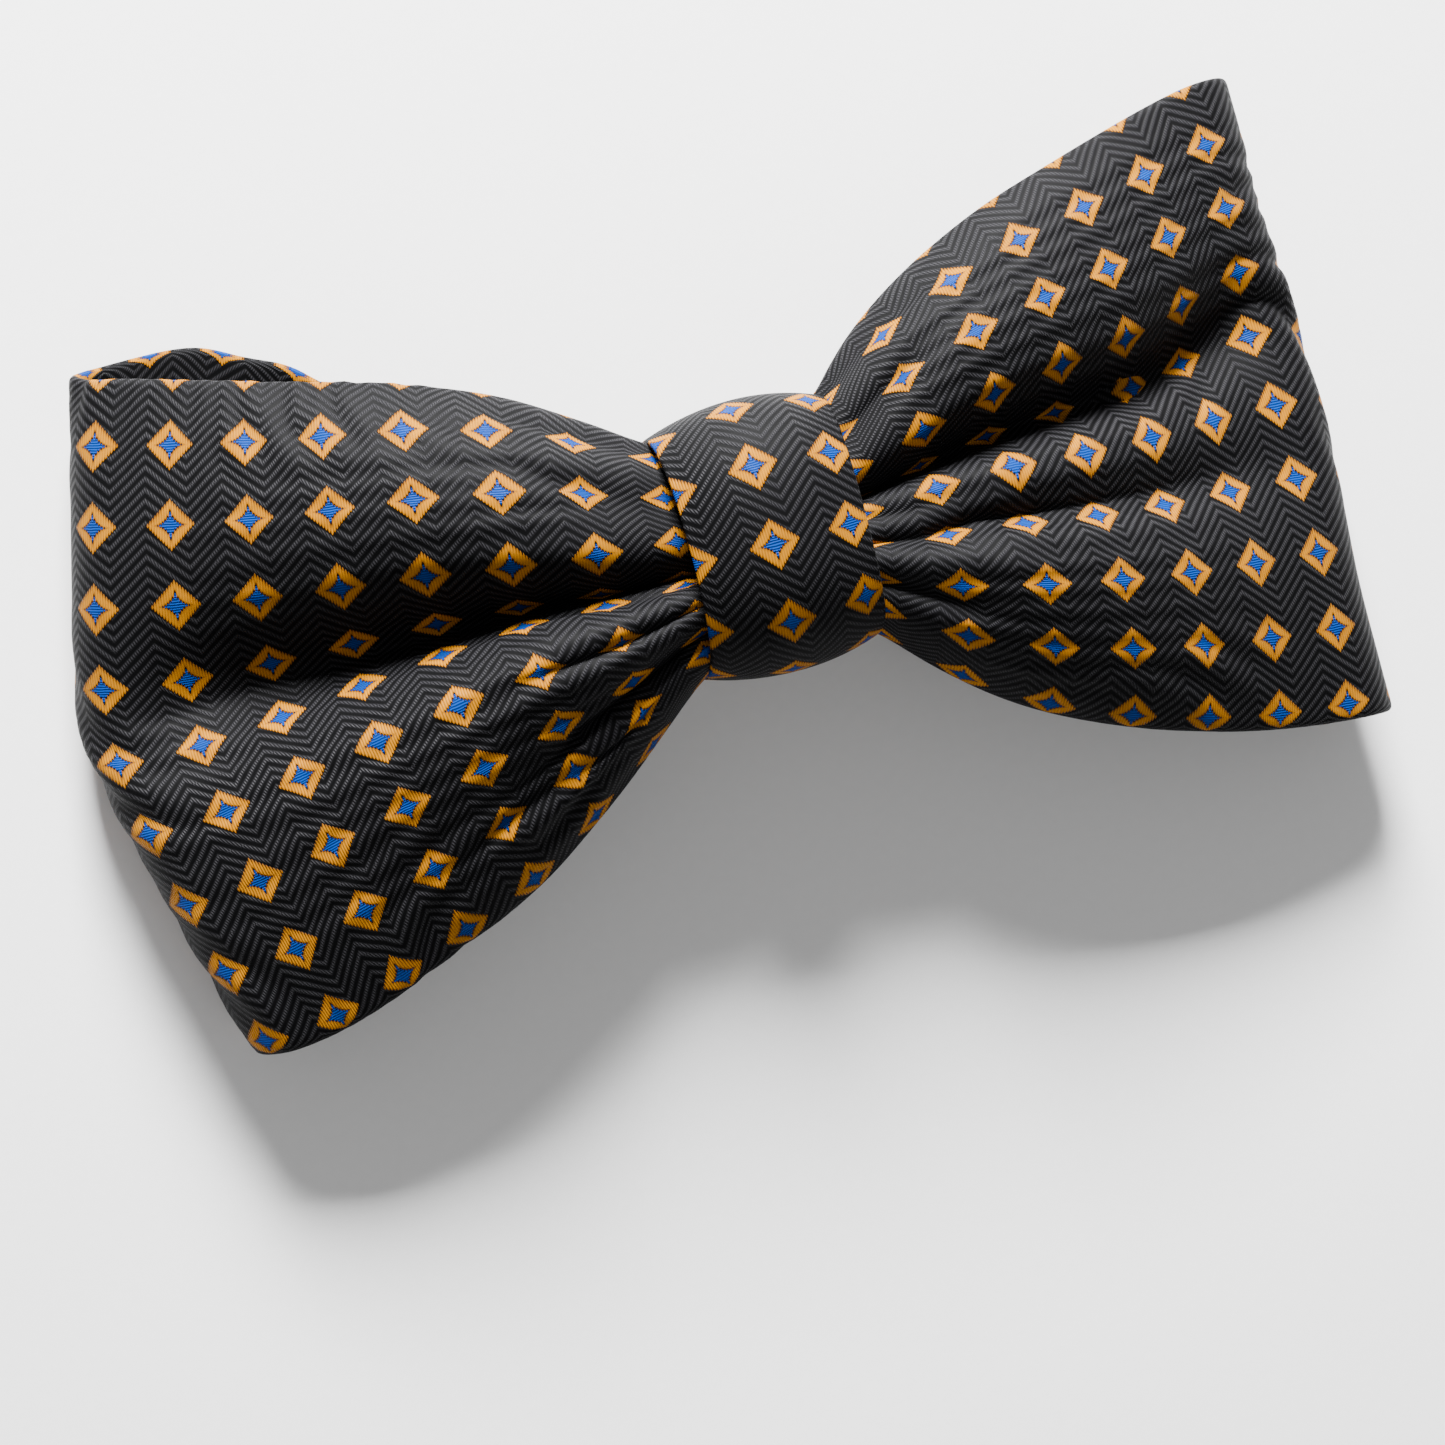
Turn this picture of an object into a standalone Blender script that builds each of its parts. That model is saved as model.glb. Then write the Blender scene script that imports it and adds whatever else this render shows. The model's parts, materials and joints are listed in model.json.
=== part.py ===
"""A pre-tied bow tie lying on its back, with its neckband folded flat behind it.

X runs along the bow, Y across it (up when worn) and Z towards the front. The origin is under
the knot, on the surface that the bow lies on. Metres throughout.
"""

import math

import bmesh
import bpy
import numpy as np
from mathutils import Matrix, Vector

# --- driving dimensions -----------------------------------------------------------------------
BOW_WIDTH = 0.125
STRIP_WIDTH = 0.065
WAIST_STRIP_WIDTH = 0.0225  # the strip's width where the knot squeezes it

FABRIC = 0.00035
PLY_GAP = 0.0002
STIFFENER = 0.0006
STRIP_HALF = FABRIC + PLY_GAP + STIFFENER / 2
GAP = 0.0003  # clearance between neighbouring pieces

KNOT_LENGTH = 0.0176  # along X
KNOT_HEIGHT = 0.0260  # along Y
KNOT_BACK_Z = 0.0056
KNOT_FRONT_Z = 0.0264
KNOT_WALL = 0.0009
PADDING_WALL = 0.0008

BAND_WIDTH = 0.0140
BAND_FABRIC = 0.00025
BAND_GAP = 0.00012
BAND_STIFFENER = 0.00026
BAND_HALF = BAND_FABRIC + BAND_GAP + BAND_STIFFENER / 2

METAL = 0.0009  # sheet thickness of the hook, the eye and the slider
WINDOW_LENGTH = BAND_WIDTH + 0.0008
RAIL = 0.0013

THREAD = 0.0003  # radius of the sewing thread's bars
BINDING = 0.0002  # radius of the cord round the strip's waist
SHARP_ANGLE = math.radians(40)

# --- helpers ----------------------------------------------------------------------------------
COLOURS = {
    "jacquard": ((0.022, 0.021, 0.024), 0.62, 0.0),
    "stiffener": ((0.62, 0.60, 0.56), 0.9, 0.0),
    "metal": ((0.78, 0.77, 0.75), 0.22, 1.0),
    "thread": ((0.015, 0.015, 0.017), 0.7, 0.0),
}


def material(kind):
    """One Principled material for each kind of stuff, made once."""
    found = bpy.data.materials.get(kind)
    if found:
        return found
    colour, roughness, metallic = COLOURS[kind]
    made = bpy.data.materials.new(kind)
    made.use_nodes = True
    shader = made.node_tree.nodes["Principled BSDF"]
    shader.inputs["Base Color"].default_value = (*colour, 1)
    shader.inputs["Roughness"].default_value = roughness
    shader.inputs["Metallic"].default_value = metallic
    return made


def add_object(name, mesh, kind, origin=(0, 0, 0), smooth=True):
    """Links a mesh whose points are in the world frame, with its object's origin at the given point."""
    mesh.transform(Matrix.Translation(-Vector(origin)))
    if smooth:
        mesh.shade_smooth()
        mesh.set_sharp_from_angle(angle=SHARP_ANGLE)
    made = bpy.data.objects.new(name, mesh)
    made.location = origin
    made.data.materials.append(material(kind))
    bpy.context.scene.collection.objects.link(made)
    return made


def mesh_of(name, points, faces):
    """A mesh from points and faces, with its faces turned outwards."""
    mesh = bpy.data.meshes.new(name)
    mesh.from_pydata([tuple(map(float, p)) for p in points], [], faces)
    edit = bmesh.new()
    edit.from_mesh(mesh)
    bmesh.ops.recalc_face_normals(edit, faces=edit.faces)
    edit.to_mesh(mesh)
    edit.free()
    return mesh


def ring_faces(stations, count, start=0):
    """Triangles joining successive rings; a ring's two halves are split along mirrored diagonals."""
    faces = []
    for i in range(stations - 1):
        for j in range(count):
            a = start + i * count + j
            b = start + i * count + (j + 1) % count
            c, d = b + count, a + count
            faces += [(a, b, d), (b, c, d)] if 2 * j >= count else [(a, b, c), (a, c, d)]
    return faces


def solid_sweep(name, rings):
    """A closed solid through successive rings of points, capped at both ends."""
    stations, count = rings.shape[:2]
    faces = ring_faces(stations, count)
    faces.append(tuple(range(count)))
    faces.append(tuple((stations - 1) * count + j for j in range(count)))
    return mesh_of(name, rings.reshape(-1, 3), faces)


def tube_sweep(name, outer, inner):
    """A hollow solid between outer and inner rings, open at both ends."""
    stations, count = outer.shape[:2]
    offset = stations * count
    faces = ring_faces(stations, count) + ring_faces(stations, count, offset)
    for first in (0, (stations - 1) * count):
        for j in range(count):
            a, b = first + j, first + (j + 1) % count
            faces.append((a, b, b + offset, a + offset))
    return mesh_of(name, np.concatenate([outer, inner]).reshape(-1, 3), faces)


def mix(a, b, t):
    return a + (b - a) * t


def ease(t):
    """Smooth step from 0 to 1."""
    t = min(1.0, max(0.0, t))
    return t * t * (3 - 2 * t)


# --- the bow's folded strip -------------------------------------------------------------------
FOLD_RADIUS = 0.0040
FOLD_X = BOW_WIDTH / 2 - FOLD_RADIUS - STRIP_HALF
FOLD_Z = FOLD_RADIUS + STRIP_HALF
CORNER_PULL = 0.0050  # how far the wing's corners stay behind the middle of its end
REAR_END_X = 0.0004  # half the gap where the strip's two ends meet behind the waist

# Each row: distance from the knot's centre (share of FOLD_X), height of the panel's crest (its
# lowest line, on the rear panel), arch angle at the strip's edges, angle of the pleat's walls,
# and the middle and half-width of each wall, measured along the cloth from its centre line.
FRONT_PROFILE = (
    (0.00, 0.0221, 70, 56, 0.0038, 0.0030),
    (0.16, 0.0221, 70, 56, 0.0038, 0.0030),
    (0.30, 0.0224, 56, 54, 0.0050, 0.0040),
    (0.50, 0.0217, 42, 40, 0.0070, 0.0055),
    (0.72, 0.0180, 26, 20, 0.0085, 0.0066),
    (0.90, 0.0114, 14, 9, 0.0090, 0.0070),
    (1.00, FOLD_Z + FOLD_RADIUS, 10, 3, 0.0090, 0.0070),
)
REAR_PROFILE = (
    (0.00, 0.0102, 64, 30, 0.0040, 0.0030),
    (0.16, 0.0102, 64, 30, 0.0050, 0.0030),
    (0.24, 0.0098, 60, 42, 0.0105, 0.0030),
    (0.30, 0.0084, 52, 64, 0.0113, 0.0034),
    (0.36, 0.0062, 44, 78, 0.0124, 0.0044),
    (0.50, 0.0020, 30, 80, 0.0140, 0.0062),
    (0.64, 0.0009, 18, 80, 0.0142, 0.0065),
    (0.74, STRIP_HALF, 14, 58, 0.0138, 0.0060),
    (0.82, STRIP_HALF, 10, 44, 0.0138, 0.0060),
    (0.92, STRIP_HALF, 8, 15, 0.0130, 0.0064),
    (1.00, FOLD_Z - FOLD_RADIUS, 8, 2, 0.0110, 0.0070),
)
ACROSS = tuple(s * q for s in (-1, 1) for q in (1, 0.82, 0.64, 0.50, 0.36, 0.22, 0.10)) + (0,)
ALONG = (0, 0.155, 0.21, 0.28, 0.36, 0.45, 0.55, 0.65, 0.75, 0.83, 0.91, 1.0)
FOLD_STEPS = 5


def profile_at(profile, share):
    """The profile's row at a share of the wing's length: a smooth curve that never overshoots."""
    table = np.array(profile)
    x, y = table[:, 0], table[:, 1:]
    step = np.diff(x)[:, None]
    slope = np.diff(y, axis=0) / step
    same = slope[:-1] * slope[1:] > 0
    product, total = slope[:-1] * slope[1:], slope[:-1] + slope[1:]
    inside = np.where(same, 2 * product / np.where(same, total, 1), 0)
    tangent = np.concatenate([slope[:1] * 0, inside, slope[-1:]])
    i = min(int(np.searchsorted(x, share, side="right")) - 1, len(step) - 1)
    t = (share - x[i]) / step[i, 0]
    rise = (3 - 2 * t) * t * t
    start, stop = t * (1 - t) ** 2 * step[i], t * t * (t - 1) * step[i]
    return mix(y[i], y[i + 1], rise) + start * tangent[i] + stop * tangent[i + 1]


WIDENING_START, WIDENING_STOP = 0.155, 0.66  # shares of FOLD_X over which the strip fans out
SECTION_STEPS = 241


def strip_width_at(share):
    widening = (share - WIDENING_START) / (WIDENING_STOP - WIDENING_START)
    return mix(WAIST_STRIP_WIDTH, STRIP_WIDTH, ease(widening))


def section(share, profile, side):
    """(y, z) of a panel across the strip: an arch with one pleat. side is 1 in front, -1 behind."""
    crest, arch, pleat, wall, half = profile_at(profile, share)
    width = strip_width_at(share)
    q = np.linspace(-1, 1, SECTION_STEPS)
    along = q * width / 2
    bump = np.exp(-(((along - wall) / half) ** 4)) - np.exp(-(((along + wall) / half) ** 4))
    angle = math.radians(pleat) * bump - math.radians(arch) * q * np.abs(q)
    length = width / (SECTION_STEPS - 1)
    y = np.concatenate([[0], np.cumsum(np.cos(angle[1:]) * length)])
    z = np.concatenate([[0], np.cumsum(np.sin(angle[1:]) * length)])
    y -= y[SECTION_STEPS // 2]
    z = (z - z.max()) * side + crest
    across = sorted(ACROSS)
    picked = np.interp(across, q, y), np.interp(across, q, z)
    return np.stack(picked, 1)


def corner_pull(y, share):
    return CORNER_PULL * share**3 * np.abs(y / (STRIP_WIDTH / 2)) ** 1.5


def half_strip():
    """The strip's middle surface from the knot's centre round the +X wing to its rear end."""
    rows = []
    for share in ALONG:
        yz = section(share, FRONT_PROFILE, 1)
        x = share * FOLD_X - corner_pull(yz[:, 0], share)
        rows.append(np.column_stack([x, yz]))
    front = section(1.0, FRONT_PROFILE, 1)
    rear = section(1.0, REAR_PROFILE, -1)
    for step in range(1, FOLD_STEPS):
        turn = step / FOLD_STEPS
        yz = mix(front, rear, 0.5 - 0.5 * math.cos(math.pi * turn))
        x = FOLD_X + FOLD_RADIUS * math.sin(math.pi * turn) - corner_pull(yz[:, 0], 1.0)
        rows.append(np.column_stack([x, yz]))
    for share in reversed(ALONG):
        yz = section(share, REAR_PROFILE, -1)
        x = np.maximum(share * FOLD_X, REAR_END_X) - corner_pull(yz[:, 0], share)
        rows.append(np.column_stack([x, yz]))
    return np.array(rows)


def strip_surface():
    """The whole strip's middle surface, from the -X wing's rear end to the +X wing's."""
    right = half_strip()
    left = (right * (-1, 1, 1))[::-1]
    return np.concatenate([left, right[1:]])


def normals_of(grid):
    along = np.gradient(grid, axis=0)
    across = np.gradient(grid, axis=1)
    normal = np.cross(along, across)
    return normal / np.linalg.norm(normal, axis=2, keepdims=True)


def outline_rings(grid, normal, half, inset, rim):
    """Rings round the strip: `half` thick each way, `inset` short of its edges, with `rim` rounding."""
    edge = grid[:, 1:2] - grid[:, 0:1], grid[:, -2:-1] - grid[:, -1:]
    low, high = (e / np.linalg.norm(e, axis=2, keepdims=True) for e in edge)
    middle = grid.copy()
    middle[:, :1] += low * inset
    middle[:, -1:] += high * inset
    front = middle + normal * half
    back = (middle - normal * half)[:, ::-1]
    high_rim = middle[:, -1:] - high * rim
    low_rim = middle[:, :1] - low * rim
    return np.concatenate([front, high_rim, back, low_rim], axis=1)


EDGE_ROUNDING = 0.7  # how far an edge's middle stands out, as a share of the half thickness


def make_bow():
    """The strip's fabric tube, and the stiffener inside it."""
    grid = strip_surface()
    normal = normals_of(grid)
    inner_half = STIFFENER / 2 + PLY_GAP
    rim, inner_rim = STRIP_HALF * EDGE_ROUNDING, inner_half * EDGE_ROUNDING
    core_inset = STRIP_HALF + PLY_GAP
    outer = outline_rings(grid, normal, STRIP_HALF, rim, rim)
    inner = outline_rings(grid, normal, inner_half, STRIP_HALF, inner_rim)
    core = outline_rings(grid, normal, STIFFENER / 2, core_inset, PLY_GAP)
    add_object("bow_shell", tube_sweep("bow_shell", outer, inner), "jacquard")
    add_object("bow_interlining", solid_sweep("bow_interlining", core), "stiffener")


# --- the knot ---------------------------------------------------------------------------------
KNOT_STEPS = 32
KNOT_BULGE = 0.0007  # how much fuller the knot is at the middle of its length
PADDING_TURN = math.radians(50)  # where the padding starts, up from the knot's side
PADDING_INSET = 0.001  # how far the padding stays inside the knot's ends
FRONT_POWER, BACK_POWER = 2.7, 5.0  # the knot's section is a superellipse, squarer at the back


def loop_point(turn, half_y, low_z, high_z):
    """A point on the knot's rounded section in the YZ plane; turn is in radians."""
    c, s = math.cos(turn), math.sin(turn)
    power = 2 / (FRONT_POWER if s > 0 else BACK_POWER)
    centre = (low_z + high_z) / 2
    y = half_y * math.copysign(abs(c) ** power, c)
    z = centre + (high_z - low_z) / 2 * math.copysign(abs(s) ** power, s)
    return y, z


def knot_ring(x, inset, turns):
    """One loop of the knot at x, inset from its outer surface, for the given turns."""
    fullness = KNOT_BULGE * (1 - (2 * x / KNOT_LENGTH) ** 2)
    half_y = KNOT_HEIGHT / 2 - KNOT_BULGE + fullness - inset
    low, high = KNOT_BACK_Z + inset, KNOT_FRONT_Z - KNOT_BULGE + fullness - inset
    return [(x, *loop_point(t, half_y, low, high)) for t in turns]


def wrap_solid(name, inset, wall, half_length, turns, closed, kind):
    """A wrap round the knot's axis, `wall` thick, over the given turns."""
    stations = np.linspace(-half_length, half_length, 7)
    outside = np.array([knot_ring(x, inset, turns) for x in stations])
    inside = np.array([knot_ring(x, inset + wall, turns) for x in stations])
    if closed:
        return add_object(name, tube_sweep(name, outside, inside), kind)
    rings = np.concatenate([outside, inside[:, ::-1]], axis=1)
    return add_object(name, solid_sweep(name, rings), kind)


def make_knot():
    full = np.linspace(0, 2 * math.pi, KNOT_STEPS, endpoint=False)
    wrap_solid("knot_wrap", 0, KNOT_WALL, KNOT_LENGTH / 2, full, True, "jacquard")
    front = np.linspace(PADDING_TURN, math.pi - PADDING_TURN, 11)
    half_length = KNOT_LENGTH / 2 - PADDING_INSET
    wrap_solid("knot_padding", KNOT_WALL + GAP, PADDING_WALL, half_length, front, False, "stiffener")


def wire(name, points, radius, kind, cyclic=False):
    """A thread or wire as a bevelled curve, with filled caps."""
    curve = bpy.data.curves.new(name, "CURVE")
    curve.dimensions = "3D"
    curve.bevel_depth = radius
    curve.bevel_resolution = 1
    curve.use_fill_caps = not cyclic
    spline = curve.splines.new("POLY")
    spline.points.add(len(points) - 1)
    for slot, point in zip(spline.points, points):
        slot.co = (*point, 1)
    spline.use_cyclic_u = cyclic
    made = bpy.data.objects.new(name, curve)
    made.data.materials.append(material(kind))
    bpy.context.scene.collection.objects.link(made)
    return made


def zigzag(start, end, sway, count):
    """Points that run from start to end, swaying to either side."""
    start, end, sway = Vector(start), Vector(end), Vector(sway)
    points = []
    for i in range(count + 1):
        side = 1 if i % 2 else -1
        points.append(start.lerp(end, i / count) + sway * side)
    return points


STITCHES = 11  # in each hand-sewn row
SEAM_Y = 0.0058  # the wrap's seam is above its middle
SEAM_SWAY, JOIN_SWAY, TACK_SWAY = 0.0009, 0.0014, 0.0007
SEAM_INSET = 0.002  # how far a seam stays inside the edges of its cloth
BINDING_X = 0.004


def make_stitches():
    """The wrap's seam at the back, the strip's joining seam, and the binding round its waist."""
    z = KNOT_BACK_Z - GAP - THREAD
    reach = KNOT_LENGTH / 2 - SEAM_INSET
    seam = zigzag((-reach, SEAM_Y, z), (reach, SEAM_Y, z), (0, SEAM_SWAY, 0), STITCHES)
    wire("knot_seam_stitch", seam, THREAD, "thread")

    yz = section(0, REAR_PROFILE, -1)[1:-1]
    along = np.gradient(yz, axis=0)
    normal = np.column_stack([-along[:, 1], along[:, 0]])
    normal /= np.linalg.norm(normal, axis=1, keepdims=True)
    inside = yz + normal * (STRIP_HALF + GAP + THREAD)
    join = [((-1) ** i * JOIN_SWAY, y, z) for i, (y, z) in enumerate(inside)]
    wire("strip_join_stitch", join, THREAD, "thread")

    front, rear = section(0, FRONT_PROFILE, 1), section(0, REAR_PROFILE, -1)
    clear = STRIP_HALF + GAP + BINDING
    half_y = max(front[:, 0].max(), rear[:, 0].max()) + clear
    low, high = rear[:, 1].min() - clear, front[:, 1].max() + clear + GAP
    turns = np.linspace(0, 2 * math.pi, 40, endpoint=False)
    loop = [(BINDING_X, *loop_point(t, half_y, low, high)) for t in turns]
    wire("waist_binding", loop, BINDING, "thread", cyclic=True)


# --- the neckband -----------------------------------------------------------------------------
BAND_REACH = 0.0430  # how far the lower folds reach along X
UPPER_REACH = 0.0350  # and the upper ones
BAND_SHORT_X = 0.0215  # where the inner folds turn, just outside the knot
LEVELS = (0.0018, 0.0065, 0.0083, 0.0101)  # heights of the band's four runs
BAND_OVER_KNOT_BACK = 0.0004  # clearance between the band and the knot's back wall
BAND_IN_KNOT_Z = KNOT_BACK_Z + KNOT_WALL + BAND_OVER_KNOT_BACK + BAND_HALF
SLOPE_MARGIN = 0.001  # level band left at each end of the slope into the knot
SLOPE_STEPS = 8
LONGEST_STEP = 0.011
EYE_BAR_X = -0.0165
HOOK_BAR_X = 0.0120
TURN_POINTS = 7


def u_turn(x, low, high, side):
    """A half circle in the XZ plane from height low to height high, bulging to `side`."""
    radius = (high - low) / 2
    turns = [math.pi * i / (TURN_POINTS - 1) for i in range(TURN_POINTS)]
    return [(x + side * radius * math.sin(t), mix(low, high, 0.5 - 0.5 * math.cos(t))) for t in turns]


def folded_side():
    """(x, z) of the band on the +X side, from its lowest run up to the knot's centre."""
    path = u_turn(BAND_REACH, LEVELS[0], LEVELS[1], 1)
    path += u_turn(BAND_SHORT_X, LEVELS[1], LEVELS[2], -1)
    path += u_turn(UPPER_REACH, LEVELS[2], LEVELS[3], 1)
    rise = LEVELS[3] - BAND_IN_KNOT_Z
    start, stop = BAND_SHORT_X + SLOPE_MARGIN, KNOT_LENGTH / 2 + SLOPE_MARGIN
    for i in range(SLOPE_STEPS + 1):
        t = i / SLOPE_STEPS
        path.append((mix(start, stop, t), BAND_IN_KNOT_Z + rise * (1 - ease(t))))
    return path


def end_loop(bar_x, tail_x, side):
    """(x, z) of a band end wrapped round a bar, from the tail on top down to the lowest run."""
    turn = u_turn(bar_x, LEVELS[0], LEVELS[0] + 2 * BAR_RADIUS, side)
    return [(tail_x, turn[-1][1]), *turn[:0:-1]]


def dense(path, most):
    """The path with its long straight runs split, so that no step is longer than `most`."""
    out = [path[0]]
    for a, b in zip(path, path[1:]):
        steps = max(1, math.ceil(math.dist(a, b) / most))
        out += [(mix(a[0], b[0], i / steps), mix(a[1], b[1], i / steps)) for i in range(1, steps + 1)]
    return out


def band_rings(path, half, half_width):
    """Rectangular rings along an XZ path, `half` thick each way, with softened edges."""
    path = np.array(path)
    along = np.gradient(path, axis=0)
    along /= np.linalg.norm(along, axis=1, keepdims=True)
    normal = np.column_stack([-along[:, 1], along[:, 0]])
    rings = []
    soft = half * 0.5
    corners = (
        (half, half_width - soft),
        (0, half_width),
        (-half, half_width - soft),
        (-half, soft - half_width),
        (0, -half_width),
        (half, soft - half_width),
    )
    for point, n in zip(path, normal):
        rings.append([(point[0] + n[0] * h, w, point[1] + n[1] * h) for h, w in corners])
    return np.array(rings)


BAR_RADIUS = METAL / 2 + GAP + BAND_HALF  # from a bar's middle to the middle of the band round it
BAR_Z = LEVELS[0] + BAR_RADIUS
EYE_TAIL_X = -0.0275
HOOK_TAIL_X = 0.0320
TACK_FROM_TAIL = (0.0022, 0.0012)  # from the eye's and the hook's tail to its row of stitches


def make_neckband():
    """One band: round the hook's bar, folded behind the right wing, through the knot, and back."""
    right = [(HOOK_BAR_X, LEVELS[0]), *folded_side()]
    left = [(EYE_BAR_X, LEVELS[0]), *((-x, z) for x, z in folded_side())]
    hook_end = end_loop(HOOK_BAR_X, HOOK_TAIL_X, -1)
    eye_end = end_loop(EYE_BAR_X, EYE_TAIL_X, 1)
    path = dense(eye_end + left + right[::-1][1:] + hook_end[::-1], LONGEST_STEP)
    inner_half = BAND_HALF - BAND_FABRIC
    outer = band_rings(path, BAND_HALF, BAND_WIDTH / 2)
    inner = band_rings(path, inner_half, BAND_WIDTH / 2 - BAND_FABRIC)
    core = band_rings(path, BAND_STIFFENER / 2, BAND_WIDTH / 2 - BAND_FABRIC - BAND_GAP)
    add_object("neckband", tube_sweep("neckband", outer, inner), "jacquard")
    add_object("neckband_interlining", solid_sweep("neckband_interlining", core), "stiffener")


# --- metal fittings ---------------------------------------------------------------------------
def plate(name, x0, x1, half_y, windows, origin, z=BAR_Z, bevel=0.00025, cuts=0):
    """A flat metal frame from x0 to x1 with rectangular windows, each (x0, x1, half_y)."""
    xs = {x0, x1, *(w[0] for w in windows), *(w[1] for w in windows)}
    extra = {mix(x0, x1, i / cuts) for i in range(1, cuts)}
    xs = sorted(xs | {x for x in extra if min(abs(x - other) for other in xs) > 0.0001})
    ys = sorted({-half_y, half_y, *(s * w[2] for w in windows for s in (-1, 1))})
    edit = bmesh.new()
    grid = [[edit.verts.new((x, y, z - METAL / 2)) for y in ys] for x in xs]
    for i in range(len(xs) - 1):
        for j in range(len(ys) - 1):
            mid_x, mid_y = (xs[i] + xs[i + 1]) / 2, (ys[j] + ys[j + 1]) / 2
            if any(a < mid_x < b and abs(mid_y) < h for a, b, h in windows):
                continue
            edit.faces.new((grid[i][j], grid[i + 1][j], grid[i + 1][j + 1], grid[i][j + 1]))
    bmesh.ops.delete(edit, geom=[v for v in edit.verts if not v.link_faces], context="VERTS")
    top = bmesh.ops.extrude_face_region(edit, geom=edit.faces[:])
    moved = [v for v in top["geom"] if isinstance(v, bmesh.types.BMVert)]
    bmesh.ops.translate(edit, verts=moved, vec=(0, 0, METAL))
    bmesh.ops.recalc_face_normals(edit, faces=edit.faces)
    if not cuts:
        bmesh.ops.dissolve_limit(edit, angle_limit=0.01, verts=edit.verts, edges=edit.edges)
    mesh = bpy.data.meshes.new(name)
    edit.to_mesh(mesh)
    edit.free()
    made = add_object(name, mesh, "metal", origin)
    soften = made.modifiers.new("soft edges", "BEVEL")
    soften.width = bevel
    soften.segments = 2
    soften.limit_method = "ANGLE"
    return made


EYE_HALF_Y = WINDOW_LENGTH / 2 + RAIL
BAR_HALF = 0.0005
EYE_WINDOW = 0.0056  # clear width of the window that the hook enters
EYE_WINDOW_HALF_Y = 0.0052


def make_eye():
    """The eye: a flat frame that the band's end wraps, with a window that takes the hook."""
    x_window = EYE_BAR_X + BAR_HALF
    loop_room = EYE_BAR_X + BAR_RADIUS + BAND_HALF + GAP
    windows = [
        (x_window, loop_room, WINDOW_LENGTH / 2),
        (loop_room, loop_room + EYE_WINDOW, EYE_WINDOW_HALF_Y),
    ]
    end = loop_room + EYE_WINDOW + RAIL
    plate("band_eye", EYE_BAR_X - BAR_HALF, end, EYE_HALF_Y, windows, (EYE_BAR_X, 0, BAR_Z))


HOOK_TONGUE_HALF_Y = 0.0034
HOOK_LENGTH = 0.0065  # how far the tongue reaches beyond the plate
HOOK_BEND = 0.00105  # radius of the tongue's bend, at the middle of the sheet
HOOK_LEVEL = 0.002  # level sheet between the plate and the tongue's own length
HOOK_LIP = 0.0035  # length of the part bent back under the tongue
HOOK_SPREAD = 0.0001  # how much the lip's end stands away
TONGUE_OVERLAP = RAIL * 0.6  # how far the tongue runs into the plate


def make_hook():
    """The hook: a slotted plate whose narrow tongue is bent back under itself."""
    loop_room = HOOK_BAR_X - BAR_RADIUS - BAND_HALF - GAP
    windows = [(loop_room, HOOK_BAR_X - BAR_HALF, WINDOW_LENGTH / 2)]
    start = loop_room - RAIL
    origin = (HOOK_BAR_X, 0, BAR_Z)
    hook = plate("band_hook", start, HOOK_BAR_X + BAR_HALF, EYE_HALF_Y, windows, origin, bevel=0.0002)
    bend_x = start - HOOK_LENGTH
    path = [(start + TONGUE_OVERLAP, BAR_Z), (start - HOOK_LEVEL, BAR_Z), (bend_x, BAR_Z)]
    turns = [math.pi * i / 8 for i in range(1, 9)]
    path += [(bend_x - HOOK_BEND * math.sin(t), BAR_Z - HOOK_BEND * (1 - math.cos(t))) for t in turns]
    path += [(bend_x + HOOK_LIP, BAR_Z - 2 * HOOK_BEND + HOOK_SPREAD)]
    rings = band_rings(path, METAL / 2, HOOK_TONGUE_HALF_Y)
    tongue = add_object("hook_tongue", solid_sweep("hook_tongue", rings), "metal", origin)
    union = hook.modifiers.new("tongue", "BOOLEAN")
    union.operation = "UNION"
    union.solver = "EXACT"
    union.object = tongue
    tongue.hide_render = True
    tongue.display_type = "WIRE"


SLIDER_X = 0.0350  # middle bar
SLIDER_PITCH = 0.0040  # from the middle bar to each outer bar


def make_slider():
    """The slide adjuster: a wavy frame whose outer bars lie over the band and the middle one under."""
    near, far = SLIDER_X - SLIDER_PITCH, SLIDER_X + SLIDER_PITCH
    half_y = WINDOW_LENGTH / 2
    windows = [
        (near + BAR_HALF, SLIDER_X - BAR_HALF, half_y),
        (SLIDER_X + BAR_HALF, far - BAR_HALF, half_y),
    ]
    origin = (SLIDER_X, 0, LEVELS[0])
    low, high = near - BAR_HALF, far + BAR_HALF
    frame = plate("slide_adjuster", low, high, EYE_HALF_Y, windows, origin, LEVELS[0], cuts=12)
    for vertex in frame.data.vertices:
        wave = math.cos(math.pi * vertex.co.x / SLIDER_PITCH)
        vertex.co.z -= BAR_RADIUS * wave


def make_tacks():
    """The stitches that hold each folded-back band end, lying on top of the band."""
    z = LEVELS[0] + 2 * BAR_RADIUS + BAND_HALF + GAP + THREAD
    reach = BAND_WIDTH / 2 - SEAM_INSET
    eye_x, slider_x = EYE_TAIL_X + TACK_FROM_TAIL[0], HOOK_TAIL_X - TACK_FROM_TAIL[1]
    for name, x in (("eye_end_stitch", eye_x), ("slider_end_stitch", slider_x)):
        line = zigzag((x, -reach, z), (x, reach, z), (TACK_SWAY, 0, 0), STITCHES)
        wire(name, line, THREAD, "thread")


def main():
    for old in list(bpy.data.objects):
        bpy.data.objects.remove(old)
    make_bow()
    make_knot()
    make_stitches()
    make_neckband()
    make_eye()
    make_hook()
    make_slider()
    make_tacks()


main()
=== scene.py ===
"""The looks of the pre-tied bow tie: its cloth, its knot, its folded band and its metal fittings.

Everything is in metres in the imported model's frame: X runs along the bow, Y across it (up when
worn) and Z towards its front. The tie lies on its back on the floor at Z = 0.
"""

import json
import math

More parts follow.
